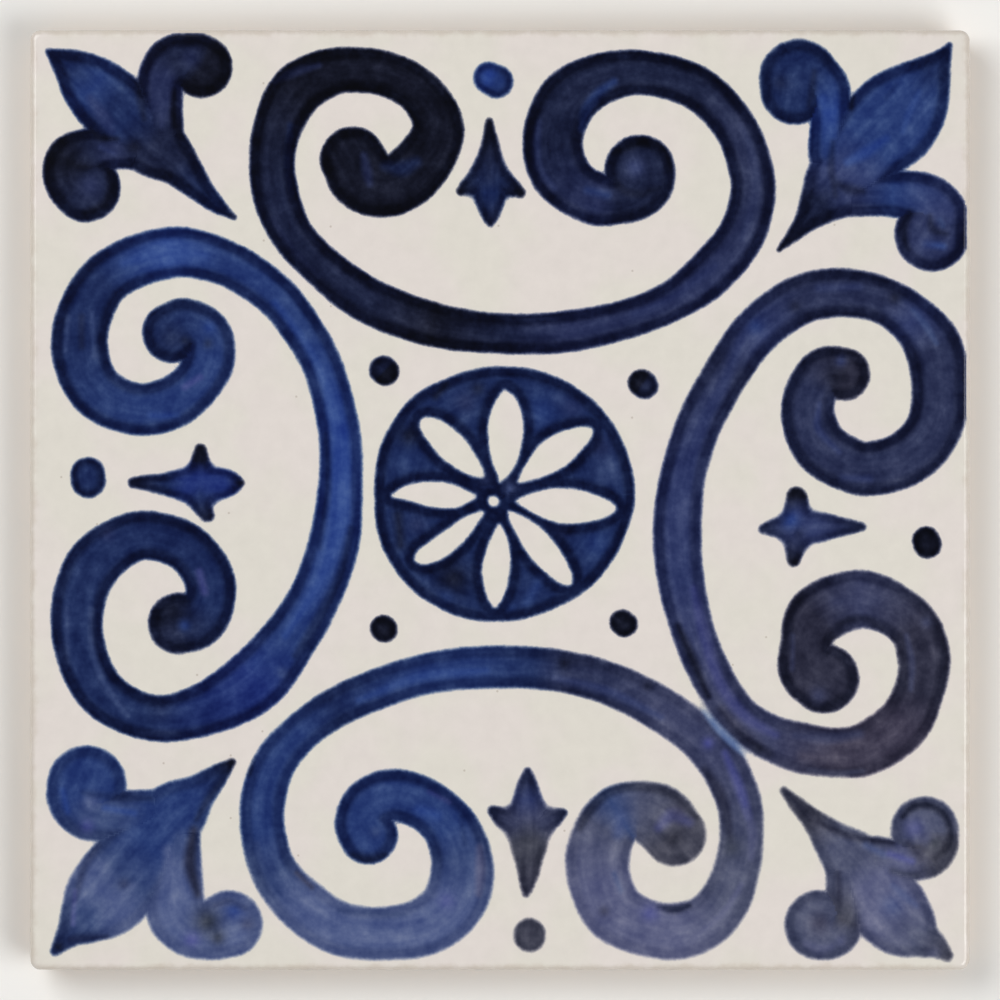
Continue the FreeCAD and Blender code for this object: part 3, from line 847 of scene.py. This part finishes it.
# medallion: a disc with eight petals and an eye left white
medallion = {
    "middle": (0.7, 1),
    # outline from the middle: east, then every sixteenth of a turn by way of north
    "radii": [19.3, 19.2, 19.15, 19.05, 19, 19.2, 19.9, 19.75,
              19.3, 19.75, 19.7, 19.35, 18.8, 18.4, 18.65, 18.8],
    "petals": [
        [(0.7, 16.3, 0.4), (0.9, 14.5, 1.7), (0.9, 12, 2.6), (0.8, 10, 2.7), (0.7, 7, 2.2), (0.4, 4.5, 1.1),
         (0, 3.1, 0.3)],
        [(13.4, 10.55, 0.5), (12.6, 10, 1.2), (10.9, 9, 1.95), (8.1, 7.1, 2.55), (5.4, 5, 1.7),
         (3.8, 3.7, 0.9), (2.9, 3, 0.3)],
        [(16.8, -1, 0.6), (15.5, -1, 1.45), (13, -0.9, 2.25), (10, -0.7, 2.75), (7, -0.4, 2.25),
         (4.2, -0.1, 1.15), (2.6, 0, 0.3)],
        [(10.15, -11.95, 0.7), (9.4, -11, 1.4), (8.2, -9.5, 1.85), (6.05, -6.9, 2.2), (3.85, -4.25, 1.65),
         (2.2, -2.6, 0.95), (1.4, -1.7, 0.35)],
        [(-0.75, -15.4, 0.5), (-0.7, -13.7, 1.4), (-0.6, -10.3, 2.15), (-0.3, -7.5, 1.85),
         (-0.1, -5.2, 1.1), (-0.1, -3.7, 0.35)],
        [(-12, -8.5, 0.8), (-11.4, -8.2, 1.3), (-9.6, -7.3, 1.65), (-7.1, -5.5, 1.65), (-4.8, -3.4, 1.25),
         (-2.8, -1.8, 0.5)],
        [(-15.8, 0.9, 0.4), (-14, 1.2, 1.15), (-12, 1.25, 1.65), (-9.5, 1, 2.05), (-7, 0.7, 1.8),
         (-5.2, 0.7, 1.1), (-3.9, 0.7, 0.45)],
        [(-11.3, 11.85, 0.55), (-10.8, 11.4, 1.25), (-9.25, 10.15, 2), (-6.95, 7.85, 2.25),
         (-4.75, 5.65, 1.65), (-3.25, 4.35, 0.9), (-2.7, 3.9, 0.4)],
        [(-1, 0, 0.85), (-0.9, 0, 0.85)]],
    "wash": "prussian",
    "sweep": 6,     # streak along a sixteenth of a turn
    "touches": [
        ("cobalt", 0.9, 2.5, (6.3, 13.3)), ("steel", 0.6, 0.9, (8.8, 15.2)),
        ("hyacinth", 0.5, 1.5, (10.8, 14)), ("steel", 0.5, 2.2, (16.2, 4.6)), ("navy", 0.6, 1.5, (15.2, 8)),
        ("cobalt", 0.7, 2.2, (14.3, -6.4)), ("navy", 0.5, 1.2, (9.6, -4.4)),
        ("cobalt", 0.8, 1, (6, -11.5), (4, -15.2)), ("cobalt", 0.6, 0.9, (1.5, -15.7)),
        ("ink", 0.9, 2.8, (-7, -11.6)), ("cobalt", 0.6, 1.4, (-8.2, -14.6)),
        ("ink", 0.8, 1.1, (-15.2, -2), (-14.8, -6.5)), ("navy", 0.5, 1.5, (-12.3, -3.6)),
        ("cobalt", 0.3, 2, (-13.8, 6)), ("ink", 0.8, 1.6, (-13.6, 9.8)),
        ("ink", 0.8, 0.8, (-9.6, 15.6), (-8, 17.4)), ("navy", 0.6, 1.5, (-5.2, 14.8)),
        ("ink", 0.7, 1.2, (-3.3, 16.8)), ("slate", 0.7, 1, (1.5, 2.1)), ("slate", 0.5, 0.9, (-2, 3.1))],
    "line": (0.8, 1.05, 0.55),
}


# Disc less its petals: radius at sixteen points, eased between, less the distance from the middle,
# and no more than the distance to the nearest petal. The brush went round the middle.
def readMedallion(x, y, coloured):
    mx, my = medallion["middle"]
    radii = np.array(medallion["radii"])
    sector = (np.degrees(np.arctan2(y - my, x - mx)) % 360.0) / (360.0 / len(radii))
    i = sector.astype(int) % len(radii)
    ease = eased(sector - np.floor(sector), 0.0, 1.0)
    fromMiddle = np.hypot(x - mx, y - my)
    depth = radii[i] * (1 - ease) + radii[(i + 1) % len(radii)] * ease - fromMiddle
    for petal in medallion["petals"]:
        depth = np.minimum(depth, -readStroke(x, y, petal)[0])
    depth = trimmed(depth, x, y)
    if not coloured:
        return depth
    wash = np.tile(linear(pigments[medallion["wash"]]), (len(x), 1))
    brush = np.stack([sector * medallion["sweep"], fromMiddle], -1)
    return depth, layTouches(medallion, x, y, wash), brush, medallion["line"][0]


discX, discY = medallion["middle"]
discReach = max(medallion["radii"]) + 1.5
discBox = (discX - discReach, discY - discReach, discX + discReach, discY + discReach)
layCoat("medallion", readMedallion, discBox, medallion, painted)
print("pattern painted")

# studio: a pale floor, two broad lamps to the sides and a surround that is dim overhead, in metres and watts
studio = {
    "floor": (236, 235, 232),
    "floorHalf": 3.0,
    "floorRoughness": 0.9,
    "low": 0.34,             # surround near the horizon
    "overhead": 0.055,
    "dims": (0.45, 0.95),    # height in the sky, as a share, over which it dims
    "lamps": {
        "keyLamp": {"at": (-0.6, 0.44, 0.86), "size": 0.75, "power": 8.3},
        "fillLamp": {"at": (0.66, -0.36, 0.82), "size": 0.75, "power": 7.9},
    },
    "cameraHeight": 1.2,
    "frameShare": 0.94,      # width of the tile in the picture
}


# plane of one grid cell, level with the back of the tile
def layFloor():
    mesh = bpy.data.meshes.new("floor")
    square = np.array([(-1, -1, 0), (1, -1, 0), (1, 1, 0), (-1, 1, 0)])
    mesh.from_pydata(square * studio["floorHalf"], [], [(0, 1, 2, 3)])
    material, tree = newMaterial("paleFloor")
    shader = addNode(tree, "ShaderNodeBsdfPrincipled", {
        "Base Color": (*linear(studio["floor"]), 1.0), "Roughness": studio["floorRoughness"]})
    addNode(tree, "ShaderNodeOutputMaterial", {"Surface": shader.outputs[0]})
    mesh.materials.append(material)
    floor = putIn("floor", mesh)


# Each lamp looks at the middle of the tile. The surround's strength falls by a smooth S with height, and
# the camera sees the floor's colour there.
def lightStudio():
    for name, lamp in studio["lamps"].items():
        light = bpy.data.lights.new(name, "AREA")
        light.size = lamp["size"]
        light.energy = lamp["power"]
        thing = putIn(name, light)
        thing.location = lamp["at"]
        thing.rotation_euler = (-Vector(lamp["at"])).to_track_quat("-Z", "Y").to_euler()
    world = bpy.data.worlds.new("surround")
    world.use_nodes = True
    tree = world.node_tree
    tree.nodes.clear()
    sky = addNode(tree, "ShaderNodeTexCoord").outputs["Generated"]
    up = addNode(tree, "ShaderNodeSeparateXYZ", {"Vector": sky}).outputs["Z"]
    level = softStep(tree, up, *studio["dims"], studio["low"], studio["overhead"])
    dim = addNode(tree, "ShaderNodeBackground", {"Color": (1, 1, 1, 1), "Strength": level})
    pale = addNode(tree, "ShaderNodeBackground", {"Color": (*linear(studio["floor"]), 1.0), "Strength": 1.0})
    seen = addNode(tree, "ShaderNodeLightPath").outputs["Is Camera Ray"]
    mix = addNode(tree, "ShaderNodeMixShader", {0: seen, 1: dim.outputs[0], 2: pale.outputs[0]})
    addNode(tree, "ShaderNodeOutputWorld", {"Surface": mix.outputs[0]})
    bpy.context.scene.world = world


# Straight down on the face, far enough off for nearly parallel lines. The angle of view is twice that of
# half the picture's width over the distance to the face.
def setCamera():
    camera = bpy.data.cameras.new("camera")
    away = studio["cameraHeight"] - faceHeight * mm
    camera.angle = 2 * math.atan(halfSide * mm / studio["frameShare"] / away)
    thing = putIn("camera", camera)
    thing.location = (0.0, 0.0, studio["cameraHeight"])
    bpy.context.scene.camera = thing


layFloor()
lightStudio()
setCamera()
bpy.context.scene.view_settings.view_transform = "Standard"
print("studio set")
